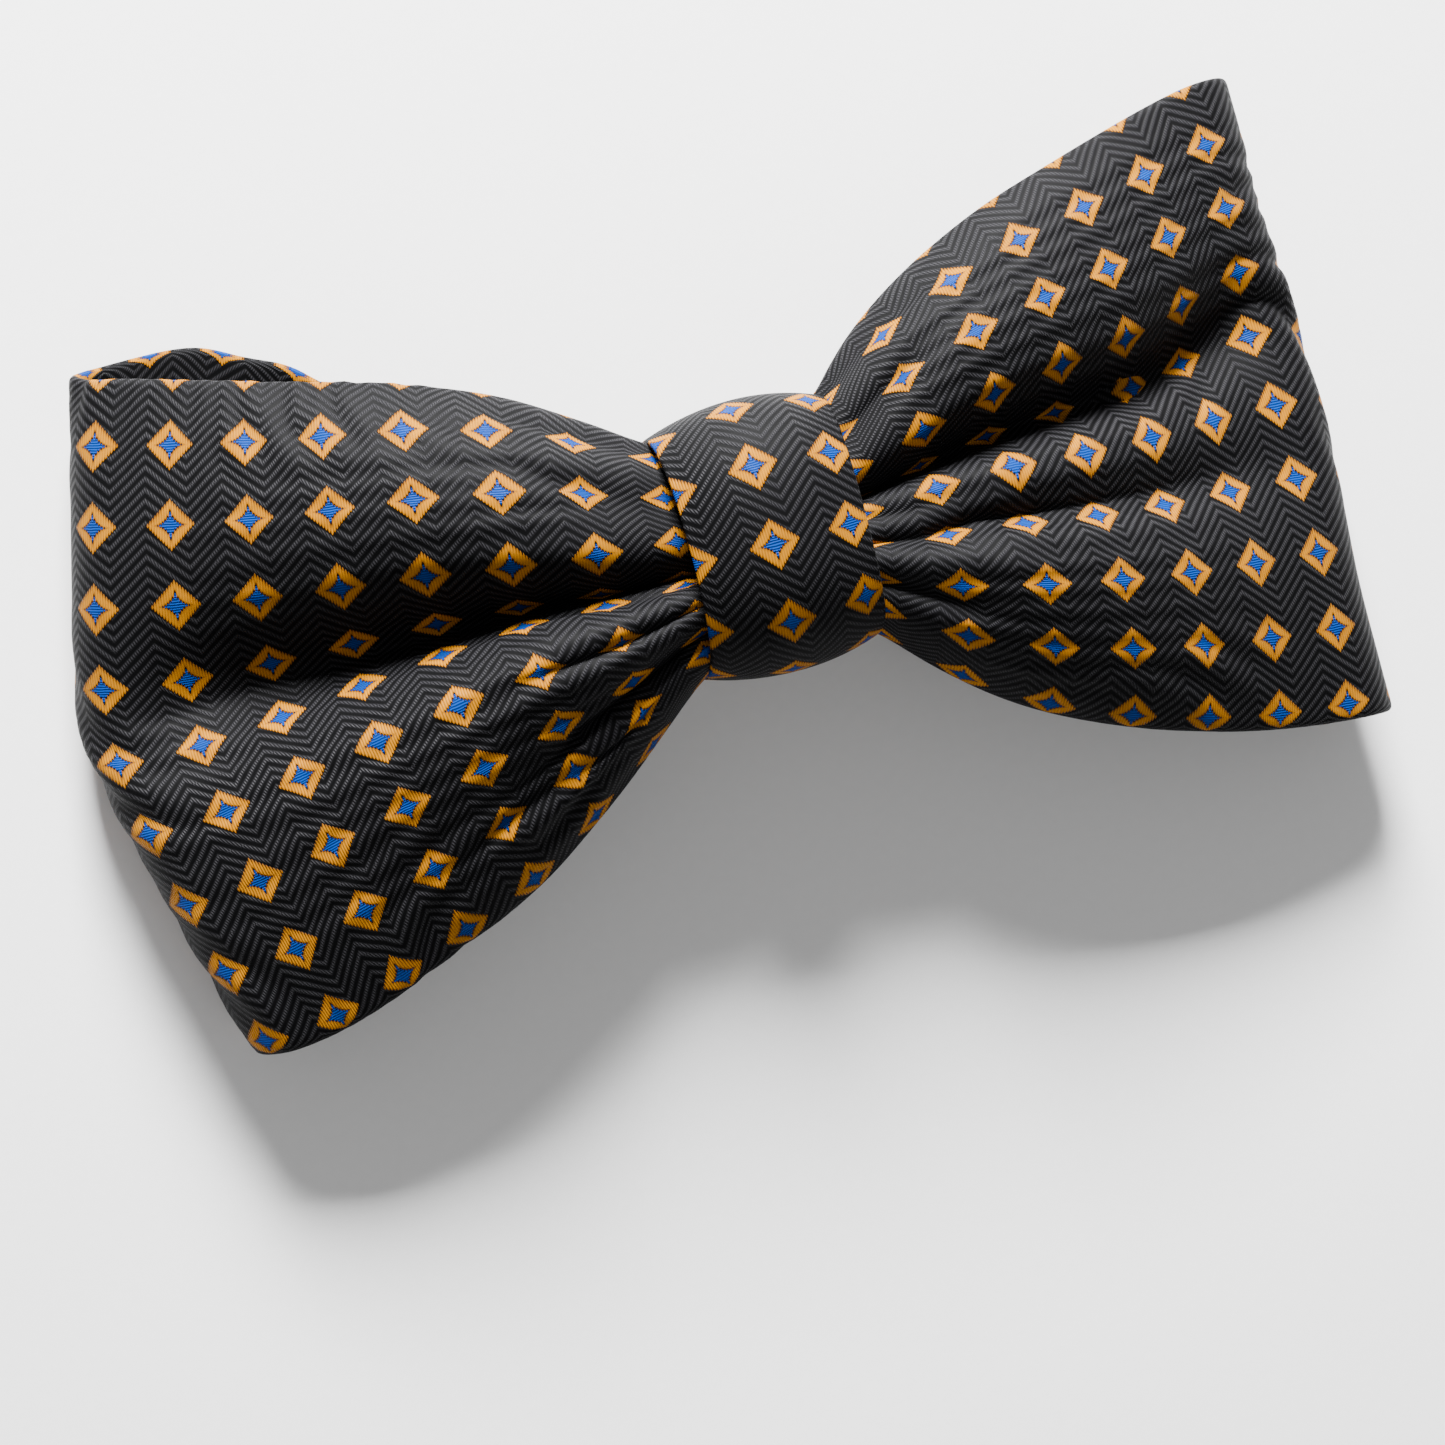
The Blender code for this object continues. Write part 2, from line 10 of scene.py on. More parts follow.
import bpy
import numpy as np
from mathutils import Matrix, Vector

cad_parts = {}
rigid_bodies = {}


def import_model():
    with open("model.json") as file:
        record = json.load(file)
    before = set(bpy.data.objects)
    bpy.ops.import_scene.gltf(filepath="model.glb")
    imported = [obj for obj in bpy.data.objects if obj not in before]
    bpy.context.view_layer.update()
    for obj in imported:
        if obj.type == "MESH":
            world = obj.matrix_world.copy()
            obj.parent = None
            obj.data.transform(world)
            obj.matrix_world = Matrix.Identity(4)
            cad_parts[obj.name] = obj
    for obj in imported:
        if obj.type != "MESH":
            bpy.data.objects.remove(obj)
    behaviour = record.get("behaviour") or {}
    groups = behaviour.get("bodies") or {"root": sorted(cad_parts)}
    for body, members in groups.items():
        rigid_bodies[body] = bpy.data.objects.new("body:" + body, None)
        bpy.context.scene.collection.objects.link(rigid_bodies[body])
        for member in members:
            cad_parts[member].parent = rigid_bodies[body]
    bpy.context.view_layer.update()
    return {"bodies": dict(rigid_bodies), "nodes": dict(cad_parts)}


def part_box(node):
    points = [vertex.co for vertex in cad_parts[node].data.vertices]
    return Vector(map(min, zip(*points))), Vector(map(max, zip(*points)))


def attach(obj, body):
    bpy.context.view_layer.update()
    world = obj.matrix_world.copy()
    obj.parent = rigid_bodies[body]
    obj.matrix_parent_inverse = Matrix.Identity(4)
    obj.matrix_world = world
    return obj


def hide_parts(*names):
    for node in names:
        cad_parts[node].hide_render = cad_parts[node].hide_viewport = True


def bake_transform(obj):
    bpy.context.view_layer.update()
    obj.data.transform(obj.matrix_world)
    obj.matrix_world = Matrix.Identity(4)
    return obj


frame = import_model()

# --- driving sizes ----------------------------------------------------------------------------
REPEAT_U, REPEAT_V = 0.0077, 0.0075  # one repeat of the woven diamonds, along the cloth and across
STRIP_WIDTH = 0.067
STRIP_HALF = 0.00062  # half the thickness of the bow's cloth with its stiffener
FLOOR_GAP = 0.00005

bow_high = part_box("bow_shell")[1]
knot_low, knot_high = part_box("knot_wrap")

FOLD_RADIUS = 0.0046
FOLD_X = bow_high.x - FOLD_RADIUS - STRIP_HALF  # where the outer fold's turn starts
LEFT_EXTRA, RIGHT_EXTRA = 0.0038, -0.0038  # the left wing lies further out than the right one


def mix(a, b, t):
    """The value a share t of the way from a to b."""
    return a + (b - a) * t


def ease(t):
    """Smooth step from 0 to 1; takes numbers or arrays."""
    t = np.clip(t, 0, 1)
    return t * t * (3 - 2 * t)


def smooth_table(rows, x):
    """Each row is (position, values...): the values at every x, on a curve that never overshoots."""
    table = np.array(rows, float)
    at, values = table[:, 0], table[:, 1:]
    step = np.diff(at)[:, None]
    slope = np.diff(values, axis=0) / step
    product, total = slope[:-1] * slope[1:], slope[:-1] + slope[1:]
    inside = np.where(product > 0, 2 * product / np.where(product > 0, total, 1), 0)
    tangent = np.concatenate([slope[:1] * 0, inside, slope[-1:]])
    x = np.clip(np.asarray(x, float), at[0], at[-1])
    i = np.clip(np.searchsorted(at, x, side="right") - 1, 0, len(step) - 1)
    h = step[i]
    t = (x[:, None] - at[i][:, None]) / h
    rise = (3 - 2 * t) * t * t
    start, stop = t * (1 - t) ** 2 * h, t * t * (t - 1) * h
    return mix(values[i], values[i + 1], rise) + start * tangent[i] + stop * tangent[i + 1]


# --- the bow's cloth: the shape it is folded into ---------------------------------------------
CELL = 0.0013  # size of the cloth mesh's cells
ACROSS = 2 * round(STRIP_WIDTH / 2 / CELL) + 1
HALF_ALONG = 50  # rows from the middle of the front panel to the outer fold
TURN_ROWS = 10  # rows round the outer fold
BLEND_ROWS = 5  # rows inside the knot over which the two wings' front panels flow together
LEFT_PULL, RIGHT_PULL = 0.0078, 0.0006  # how far a wing's corners stay behind the middle of its end

# Rows: distance from the knot's centre as a share of the wing's length; crest height; y of the
# upper edge, of the main crease and (downwards) of the lower edge; arch angle; then for the main
# crease and a second one: place across the cloth, wall angle and half-width. Places and widths
# across the cloth are shares of its half-width.
LEFT_FRONT = (
    (0.00, 0.0215, 0.0090, -0.0020, 0.0090, 60, 0.12, 62, 0.13, -0.60, 20, 0.12),
    (0.14, 0.0222, 0.0105, -0.0020, 0.0104, 66, 0.12, 66, 0.13, -0.60, 22, 0.12),
    (0.24, 0.0236, 0.0142, -0.0018, 0.0150, 60, 0.12, 72, 0.13, -0.60, 20, 0.13),
    (0.36, 0.0240, 0.0182, -0.0010, 0.0200, 50, 0.12, 72, 0.14, -0.62, 14, 0.15),
    (0.52, 0.0225, 0.0214, -0.0006, 0.0255, 40, 0.11, 62, 0.16, -0.64, 8, 0.18),
    (0.72, 0.0186, 0.0244, -0.0008, 0.0298, 27, 0.10, 46, 0.18, -0.66, 3, 0.20),
    (0.90, 0.0144, 0.0272, -0.0010, 0.0333, 15, 0.09, 26, 0.20, -0.66, 0, 0.20),
    (1.00, 0.0120, 0.0290, -0.0012, 0.0345, 9, 0.08, 12, 0.20, -0.66, 0, 0.20),
)
RIGHT_FRONT = (
    (0.00, 0.0215, 0.0095, 0.0005, 0.0095, 60, 0.16, 62, 0.12, -0.22, 10, 0.07),
    (0.14, 0.0222, 0.0108, 0.0010, 0.0106, 62, 0.16, 66, 0.12, -0.22, 30, 0.07),
    (0.24, 0.0232, 0.0158, 0.0022, 0.0158, 56, 0.16, 68, 0.12, -0.22, 42, 0.075),
    (0.36, 0.0234, 0.0198, 0.0036, 0.0205, 46, 0.16, 66, 0.13, -0.22, 44, 0.08),
    (0.52, 0.0217, 0.0236, 0.0046, 0.0246, 36, 0.17, 58, 0.13, -0.22, 38, 0.09),
    (0.72, 0.0180, 0.0270, 0.0056, 0.0282, 25, 0.18, 54, 0.13, -0.22, 32, 0.10),
    (0.90, 0.0141, 0.0297, 0.0078, 0.0304, 14, 0.19, 36, 0.15, -0.22, 18, 0.11),
    (1.00, 0.0120, 0.0311, 0.0090, 0.0312, 9, 0.20, 16, 0.18, -0.22, 8, 0.12),
)

# The rear panel arches over the folded band. Rows: distance from the knot's centre as a share of
# FOLD_X, on both wings; height of its lowest line; arch angle; then the wall angle of the band's
# channel, and the wall's middle and half-width, both in metres across the cloth.
REAR = (
    (0.00, 0.0104, 64, 30, 0.0040, 0.0030),
    (0.16, 0.0104, 64, 30, 0.0050, 0.0030),
    (0.24, 0.0099, 60, 42, 0.0105, 0.0030),
    (0.30, 0.0085, 52, 64, 0.0113, 0.0034),
    (0.36, 0.0062, 44, 78, 0.0124, 0.0044),
    (0.50, 0.0020, 30, 80, 0.0140, 0.0062),
    (0.64, 0.0007, 18, 80, 0.0142, 0.0065),
    (0.74, 0.0007, 14, 58, 0.0138, 0.0060),
    (0.82, 0.0007, 10, 44, 0.0138, 0.0060),
    (0.92, 0.0007, 8, 15, 0.0130, 0.0064),
    (1.00, 0.0007, 8, 2, 0.0110, 0.0070),
)
REAR_WIDTH, REAR_WAIST = 0.0632, 0.0225  # width along the cloth: far out, and at the knot
REAR_SPREAD_START, REAR_SPREAD = 0.155, 0.505  # where it widens, and over what, in shares of FOLD_X

PUCKERS = 7  # small gathers that radiate from the knot on each front panel
PUCKER_HEIGHT = 0.0007
PUCKER_MIDDLE, PUCKER_REACH = 0.20, 0.13  # shares of the wing's length
PUCKER_SWAY = (2.1, 5.0, 1.0)  # uneven spacing of the gathers: amount, rate, start

CREASE_BOTTOM, CREASE_FADE, CREASE_END = 0.7, 0.6, 1.6  # how round a crease is, and how it ends
CORNER_BOW, CORNER_REACH = 1.35, 2.2  # how the drawn-in corners spread across and along a wing
GATHERED = 0.42  # the cloth's width inside the knot, as a share of its full width
GATHER_START, GATHER_END = 0.004, 0.024  # distances from the knot's centre between which it widens


def integrate(angle, step):
    """Runs a curve with these slope angles along each row: its y and z, from the middle outwards."""
    y = np.cumsum(np.cos(angle) * step, axis=1)
    z = np.cumsum(np.sin(angle) * step, axis=1)
    middle = angle.shape[1] // 2
    return y - y[:, middle : middle + 1], z - z[:, middle : middle + 1]


def fit_chord(y, q, place, above, crease, below):
    """Scales each side of the section so that its edges and its main crease are where they belong."""
    at_crease = np.array([np.interp(p, q, row) for p, row in zip(place, y)])
    high, low = y[:, -1] - at_crease, at_crease - y[:, 0]
    up, down = (above - crease) / high, (below + crease) / low
    y = y - at_crease[:, None]
    return crease[:, None] + y * np.where(y > 0, up[:, None], down[:, None])


def crease_slope(t):
    """Slope across a crease as a share of its wall angle; t is 0 at its bottom, 1 on its walls."""
    size = np.abs(t)
    return np.sign(t) * size**CREASE_BOTTOM * np.exp(CREASE_FADE - CREASE_FADE * size**CREASE_END)


def gathered_width(distance):
    """The cloth's width as a share of its full width, at a distance from the knot's centre."""
    return mix(GATHERED, 1.0, ease((distance - GATHER_START) / (GATHER_END - GATHER_START)))


def front_panel(share, rows):
    """(y, z) grids of a front panel, for shares of the wing's length from the knot outwards."""
    values = smooth_table(rows, share)
    crest, above, crease, below, arch = values[:, :5].T
    q = np.linspace(-1, 1, ACROSS)
    angle = -np.radians(arch)[:, None] * (q * np.abs(q))[None, :]
    for first in (5, 8):  # the table's columns of the main crease, then of the second one
        place, wall, half = (values[:, first + i][:, None] for i in range(3))
        angle = angle + np.radians(wall) * crease_slope((q[None, :] - place) / half)
    gather = gathered_width(share * FOLD_X)
    y, z = integrate(angle, (gather * STRIP_WIDTH / (ACROSS - 1))[:, None])
    fading = np.exp(-(((share - PUCKER_MIDDLE) / PUCKER_REACH) ** 2))[:, None]
    sway, waves, start = PUCKER_SWAY
    gathers = np.sin(q * PUCKERS * math.pi + sway * np.sin(q * waves + start))[None, :]
    z = z + PUCKER_HEIGHT * fading * gathers
    z = z - z.max(axis=1, keepdims=True) + crest[:, None]
    return fit_chord(y, q, values[:, 5], above, crease, below), z


def rear_panel(share):
    """(y, z) grids of the rear panel, which arches over the folded band."""
    values = smooth_table(REAR, share)
    crest, arch, wall, place, half = (v[:, None] for v in values.T)
    spread = ease((share - REAR_SPREAD_START) / REAR_SPREAD)
    width = mix(REAR_WAIST, REAR_WIDTH, spread)[:, None]
    q = np.linspace(-1, 1, ACROSS)[None, :]
    along = q * width / 2
    bump = np.exp(-(((along - place) / half) ** 4)) - np.exp(-(((along + place) / half) ** 4))
    angle = np.radians(wall) * bump - np.radians(arch) * q * np.abs(q)
    y, z = integrate(angle, width / (ACROSS - 1))
    z = z.max(axis=1, keepdims=True) - z + crest
    return y, z


def folded_wing(side, rows, length, corner_pull):
    """The wing's cloth as it is laid out: front panel, outer fold and rear panel, knot outwards."""
    share = np.linspace(0, 1, HALF_ALONG)
    front_y, front_z = front_panel(share, rows)
    rear_y, rear_z = rear_panel(share * length / FOLD_X)  # the band's channel stays over the band
    pull = corner_pull * np.abs(np.linspace(-1, 1, ACROSS)) ** CORNER_BOW
    front_x = share[:, None] * length - pull * share[:, None] ** CORNER_REACH
    turn = np.linspace(0, math.pi, TURN_ROWS + 2)[1:-1, None]
    t = 0.5 - 0.5 * np.cos(turn)
    turn_y = mix(front_y[-1:], rear_y[-1:], t)
    turn_z = mix(front_z[-1:], rear_z[-1:], t)
    turn_x = length + FOLD_RADIUS * np.sin(turn) - pull
    x = np.concatenate([front_x, turn_x, front_x[::-1]])
    y = np.concatenate([front_y, turn_y, rear_y[::-1]])
    z = np.concatenate([front_z, turn_z, rear_z[::-1]])
    return np.stack([side * x, y, z], axis=2)


def laid_out_strip():
    """The whole strip from the left wing's rear end to the right wing's, and its rest position u."""
    right = folded_wing(1, RIGHT_FRONT, FOLD_X + RIGHT_EXTRA, RIGHT_PULL)
    left = folded_wing(-1, LEFT_FRONT, FOLD_X + LEFT_EXTRA, LEFT_PULL)
    for i in range(BLEND_ROWS):
        t = 0.5 * (1 - i / BLEND_ROWS)
        a, b = right[i].copy(), left[i].copy()
        right[i, :, 1:] = mix(a, b, t)[:, 1:]
        left[i, :, 1:] = mix(b, a, t)[:, 1:]
    return np.concatenate([left[::-1], right[1:]])


# --- the bow's cloth: a position-based cloth solver --------------------------------------------
SOLVER_STEPS = 260
HOLD_FRONT, HOLD_REAR = 0.03, 0.30  # how strongly each step draws a panel to its laid-out shape
HELD_ROWS = 2  # rows of the outer fold's turn that are held like the rear panel
SHEAR = 0.35  # stiffness of the cloth's diagonals; its threads have 1
ROW_PERCENTILE = 35  # a row's length is taken here among its threads' laid-out lengths
KNOT_GRIP = 0.0085  # the knot holds the cloth still up to this distance from its centre
BENDING = 0.07  # how strongly each step evens out the cloth's curvature


def pull_pairs(points, weight, first, second, rest, stiffness):
    """Moves both ends of each pair of grid points towards their rest distance."""
    a, b = points[first], points[second]
    wa, wb = weight[first], weight[second]
    gap = b - a
    length = np.linalg.norm(gap, axis=2, keepdims=True)
    total = np.maximum(wa + wb, 1e-9)[..., None]
    move = gap * (stiffness * (length - rest) / np.maximum(length, 1e-9)) / total
    points[first] += move * wa[..., None]
    points[second] -= move * wb[..., None]


def pair_slices(step_u, step_v, shape):
    """Slices for pairs (step_u, step_v) apart, in groups whose pairs share no point."""
    nu, nv = shape
    low_v, high_v = max(0, -step_v), nv - max(0, step_v)
    groups = []
    for phase in (0, 1):
        if step_u:
            starts = [i for i in range(0, nu - step_u) if (i // step_u) % 2 == phase]
            rows = np.array(starts)
            columns = np.arange(low_v, high_v)
            first = np.ix_(rows, columns)
            second = np.ix_(rows + step_u, columns + step_v)
        else:
            columns = np.array([j for j in range(nv - step_v) if (j // step_v) % 2 == phase])
            first = np.ix_(np.arange(nu), columns)
            second = np.ix_(np.arange(nu), columns + step_v)
        groups.append((first, second))
    return groups


def relax(target):
    """Evens the cloth out: threads drawn towards one spacing, softened bends, a waist held still."""
    points = target.copy()
    nu, nv = points.shape[:2]
    middle = nu // 2
    lengths = np.linalg.norm(np.diff(points, axis=0), axis=2)
    du = np.percentile(lengths, ROW_PERCENTILE, axis=1)
    u = np.concatenate([[0], np.cumsum(du)])
    u -= u[middle]
    dv = STRIP_WIDTH / (nv - 1)
    distance = np.abs(points[:, :, 0]).min(axis=1)
    gather = gathered_width(distance)[:, None, None]
    rear = np.abs(np.arange(nu) - middle) >= HALF_ALONG + TURN_ROWS - HELD_ROWS
    weight = np.ones((nu, nv))
    weight[distance < KNOT_GRIP] = 0.0
    hold = np.where(rear, HOLD_REAR, HOLD_FRONT)[:, None, None]
    steps_u = np.diff(u)[:, None, None]
    plans = [
        (pair_slices(1, 0, (nu, nv)), "along", 1.0),
        (pair_slices(0, 1, (nu, nv)), "across", 1.0),
        (pair_slices(1, 1, (nu, nv)), "diagonal", SHEAR),
        (pair_slices(1, -1, (nu, nv)), "diagonal", SHEAR),
    ]
    for _ in range(SOLVER_STEPS):
        for groups, kind, stiffness in plans:
            for first, second in groups:
                rows = first[0][:, 0]
                if kind == "across":
                    rest = dv * gather[rows]
                elif kind == "along":
                    rest = steps_u[rows]
                else:
                    rest = np.hypot(steps_u[rows], dv * gather[rows])
                pull_pairs(points, weight, first, second, rest, stiffness)
        free = weight[1:-1, 1:-1, None]
        around = (points[2:, 1:-1] + points[:-2, 1:-1] + points[1:-1, 2:] + points[1:-1, :-2]) / 4
        points[1:-1, 1:-1] += free * BENDING * (around - points[1:-1, 1:-1])
        points += weight[..., None] * hold * (target - points)
        points[..., 2] = np.maximum(points[..., 2], STRIP_HALF + FLOOR_GAP)
    return points, u


# --- meshes ------------------------------------------------------------------------------------
def grid_normals(grid):
    """Unit normals of a grid of points."""
    normal = np.cross(np.gradient(grid, axis=0), np.gradient(grid, axis=1))
    return normal / np.maximum(np.linalg.norm(normal, axis=2, keepdims=True), 1e-12)


RIM_STEPS = 3  # points round each folded edge, between the two faces


def cloth_rings(grid, half, v_at):
    """Closed rings round a strip of cloth with rounded folded edges: points, and their v positions."""
    normal = grid_normals(grid)
    low_out = grid[:, :1] - grid[:, 1:2]
    high_out = grid[:, -1:] - grid[:, -2:-1]
    low_out /= np.linalg.norm(low_out, axis=2, keepdims=True)
    high_out /= np.linalg.norm(high_out, axis=2, keepdims=True)
    front, back = grid + normal * half, grid - normal * half
    turns = np.pi * np.arange(1, RIM_STEPS + 1) / (RIM_STEPS + 1)
    high = [grid[:, -1:] + (normal[:, -1:] * math.cos(t) + high_out * math.sin(t)) * half for t in turns]
    low = [grid[:, :1] + (-normal[:, :1] * math.cos(t) + low_out * math.sin(t)) * half for t in turns]
    rings = np.concatenate([front, *high, back[:, ::-1], *low], axis=1)
    rim = np.array([half * (i + 1) for i in range(RIM_STEPS)])
    v = np.concatenate([v_at, v_at[-1] + rim, v_at[::-1], v_at[0] - rim])
    return rings, v


def ring_mesh(name, rings, u, v):
    """A tube through successive rings, with cloth coordinates (u, v) in repeats as its UV map."""
    nu, count = rings.shape[:2]
    faces = []
    for i in range(nu - 1):
        for j in range(count):
            a, b = i * count + j, i * count + (j + 1) % count
            faces.append((a, a + count, b + count, b))
    faces.append(tuple(range(count)))
    faces.append(tuple((nu - 1) * count + j for j in reversed(range(count))))
    mesh = bpy.data.meshes.new(name)
    mesh.from_pydata(rings.reshape(-1, 3).tolist(), [], faces)
    layer = mesh.uv_layers.new(name="cloth")
    us = np.broadcast_to(np.asarray(u)[:, None], (nu, count)).ravel() / REPEAT_U
    vs = np.broadcast_to(np.asarray(v)[None, :], (nu, count)).ravel() / REPEAT_V
    corner = np.zeros(len(mesh.loops), np.int32)
    mesh.loops.foreach_get("vertex_index", corner)
    layer.data.foreach_set("uv", np.stack([us[corner], vs[corner]], 1).ravel())
    mesh.shade_smooth()
    mesh.update()
    return mesh


def add_piece(name, mesh, body, look):
    """Puts a mesh into the scene with its material, on a body if one is given."""
    piece = bpy.data.objects.new(name, mesh)
    bpy.context.scene.collection.objects.link(piece)
    mesh.materials.clear()
    mesh.materials.append(look)
    if body:
        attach(piece, body)
    return piece


def subdivide(piece):
    """Makes the cloth's mesh finer without moving its pattern."""
    modifier = piece.modifiers.new("finer cloth", "SUBSURF")
    modifier.levels = modifier.render_levels = 1
    modifier.uv_smooth = "NONE"
    modifier.boundary_smooth = "PRESERVE_CORNERS"


# --- materials ---------------------------------------------------------------------------------
class Graph:
    """Short names for building a material's nodes."""

    def __init__(self, name):
        self.material = bpy.data.materials.new(name)
        self.material.use_nodes = True
        self.tree = self.material.node_tree
        self.shader = self.tree.nodes["Principled BSDF"]

    def node(self, kind, **settings):
        made = self.tree.nodes.new(kind)
        for key, value in settings.items():
            setattr(made, key, value)
        return made

    def feed(self, socket, value):
        if isinstance(value, bpy.types.NodeSocket):
            self.tree.links.new(value, socket)
        else:
            socket.default_value = value

    def math(self, operation, *values):
        made = self.node("ShaderNodeMath", operation=operation)
        for socket, value in zip(made.inputs, values):
            self.feed(socket, value)
        return made.outputs[0]

    def add(self, a, b):
        return self.math("ADD", a, b)

    def sub(self, a, b):
        return self.math("SUBTRACT", a, b)

    def mul(self, a, b):
        return self.math("MULTIPLY", a, b)

    def ramp(self, value, low, high):
        """0 below low, 1 above high, smooth between."""
        made = self.node("ShaderNodeMapRange", interpolation_type="SMOOTHSTEP")
        self.feed(made.inputs["Value"], value)
        self.feed(made.inputs["From Min"], low)
        self.feed(made.inputs["From Max"], high)
        return made.outputs["Result"]

    def colour(self, factor, a, b):
        made = self.node("ShaderNodeMix", data_type="RGBA")
        self.feed(made.inputs["Factor"], factor)
        self.feed(made.inputs[6], a)
        self.feed(made.inputs[7], b)
        return made.outputs[2]

    def wave(self, value, turns):
        """A smooth wave from 0 to 1 that repeats `turns` times per unit."""
        return self.add(self.mul(self.math("COSINE", self.mul(value, turns * math.tau)), 0.5), 0.5)

    def noise(self, vector, scale, detail):
        made = self.node("ShaderNodeTexNoise")
        self.feed(made.inputs["Vector"], vector)
        made.inputs["Scale"].default_value = scale
        made.inputs["Detail"].default_value = detail
        return made.outputs["Fac"]

    def bump(self, height, distance, strength):
        made = self.node("ShaderNodeBump")
        made.inputs["Distance"].default_value = distance
        made.inputs["Strength"].default_value = strength
        self.feed(made.inputs["Height"], height)
        return made.outputs["Normal"]


# Places within one repeat, as shares of it.
PEAK, VALLEY = -0.32, 0.22  # where the herringbone's zigzag turns
ZIGZAG_HEIGHT = 0.44
LINES = 7.25  # herringbone lines per repeat
DIAMOND_U, DIAMOND_V = 0.312, 0.318  # the diamond's half-diagonals
STAR_U, STAR_V = 0.172, 0.172
STAR_POWER = 0.66
STITCHES = 31.0  # threads of satin stitch per repeat
BLACK = (0.0008, 0.0008, 0.0010, 1)
THREAD_GREY = (0.021, 0.0205, 0.023, 1)
# The gold and the blue each come as a lit colour and a darker colour that is painted shade of the same
# thread; the material mixes between the two.
GOLD = (0.35, 0.134, 0.0, 1)
GOLD_SHADE = (0.060, 0.012, 0.0002, 1)
BLUE = (0.0, 0.046, 0.27, 1)
BLUE_SHADE = (0.0, 0.005, 0.045, 1)


def jacquard():
    """Black silk with a raised grey herringbone, and gold diamonds round blue stars."""
    g = Graph("jacquard")
    uv = g.node("ShaderNodeUVMap", uv_map="cloth").outputs["UV"]
    split = g.node("ShaderNodeSeparateXYZ")
    g.feed(split.inputs[0], uv)
    u, v = split.outputs[0], split.outputs[1]
    fu = g.sub(g.math("FRACT", g.add(u, 100.5)), 0.5)
    fv = g.sub(g.math("FRACT", g.add(v, 100.5)), 0.5)

    # herringbone: distance from the zigzag's peak decides how far the line has dropped
    from_peak = g.math("FRACT", g.add(g.sub(u, PEAK), 100.0))
    down = (VALLEY - PEAK) % 1.0
    falling = g.math("DIVIDE", from_peak, down)
    rising = g.math("DIVIDE", g.sub(1.0, from_peak), 1.0 - down)
    drop = g.mul(g.math("MINIMUM", falling, rising), ZIGZAG_HEIGHT)
    across_lines = g.add(v, drop)
    line = g.wave(across_lines, LINES)
    beads = g.wave(g.add(fu, g.mul(fv, 0.35)), 30.0)
    wander = g.noise(uv, 9.0, 2.0)
    rough_line = g.add(line, g.mul(g.sub(wander, 0.5), 0.30))
    ridge = g.ramp(rough_line, 0.12, 0.70)
    # Painted highlight: the beads on each ridge's crown are painted lighter than the rest of the grey
    # thread.
    painted_crown_highlight = g.mul(g.ramp(rough_line, 0.55, 1.0), beads)
    thread = g.add(g.mul(ridge, g.add(g.mul(beads, 0.22), 0.20)), g.mul(painted_crown_highlight, 0.58))

    # the diamond's boundaries run in stitch-wide steps
    step_u = g.math("DIVIDE", g.math("ROUND", g.mul(fu, STITCHES)), STITCHES)
    jag_u = g.add(g.mul(step_u, 0.9), g.mul(fu, 0.1))
    gold_stitch = g.wave(fu, STITCHES)
    fray = g.mul(g.sub(gold_stitch, 0.5), 0.022)  # every stitch reaches a little past its neighbours
    ax, ay = g.math("ABSOLUTE", jag_u), g.sub(g.math("ABSOLUTE", fv), fray)
    ay = g.math("MAXIMUM", ay, 0.0)
    diamond = g.add(g.math("DIVIDE", ax, DIAMOND_U), g.math("DIVIDE", ay, DIAMOND_V))
    px = g.math("POWER", g.math("DIVIDE", ax, STAR_U), STAR_POWER)
    py = g.math("POWER", g.math("DIVIDE", ay, STAR_V), STAR_POWER)
    star = g.math("POWER", g.add(px, py), 1 / STAR_POWER)
    inside = g.sub(1.0, g.ramp(diamond, 0.95, 1.03))
    gold_area = g.mul(inside, g.ramp(star, 1.02, 1.14))
    blue_area = g.sub(1.0, g.ramp(star, 0.86, 0.96))

    blue_stitch = g.wave(g.add(fv, g.mul(wander, 0.02)), STITCHES)
    tone = g.noise(uv, 3.1, 4.0)
    # Painted light and shade on the gold: lighter along the middle of the frame and on every stitch,
    # darker towards the frame's edges and between stitches. The noise adds random tone, the thread's
    # own.
    painted_roll_light = g.mul(g.sub(1.0, g.ramp(diamond, 0.80, 1.02)), g.ramp(star, 1.0, 1.5))
    lit = g.add(g.mul(painted_roll_light, 0.55), g.mul(gold_stitch, 0.35))
    gold = g.colour(g.add(lit, g.mul(g.sub(tone, 0.35), 0.7)), GOLD_SHADE, GOLD)
    # Painted shade on the blue: lighter on its stitches and darker between them, with random tone from
    # the noise.
    blue = g.colour(g.add(g.mul(blue_stitch, 0.6), g.mul(tone, 0.4)), BLUE_SHADE, BLUE)
    ground = g.colour(thread, BLACK, THREAD_GREY)
    cover = g.sub(1.0, g.ramp(diamond, 1.0, 1.1))
    shaded = g.colour(g.mul(cover, 0.9), ground, BLACK)
    mixed = g.colour(blue_area, g.colour(gold_area, shaded, gold), blue)
    g.feed(g.shader.inputs["Base Color"], mixed)

    swell = g.mul(gold_area, g.add(0.75, g.mul(gold_stitch, 0.35)))
    swell = g.add(swell, g.mul(blue_area, g.add(0.55, g.mul(blue_stitch, 0.3))))
    plain = g.mul(g.sub(1.0, cover), thread)
    height = g.add(g.mul(plain, 0.6), swell)
    g.feed(g.shader.inputs["Normal"], g.bump(height, 0.00012, 0.9))
    rough = g.add(0.40, g.mul(g.sub(1.0, thread), 0.22))
    g.feed(g.shader.inputs["Roughness"], g.sub(rough, g.mul(gold_area, 0.06)))
    g.shader.inputs["Specular IOR Level"].default_value = 0.05
    g.shader.inputs["Sheen Weight"].default_value = 0.01
    g.shader.inputs["Sheen Roughness"].default_value = 0.35
    return g.material


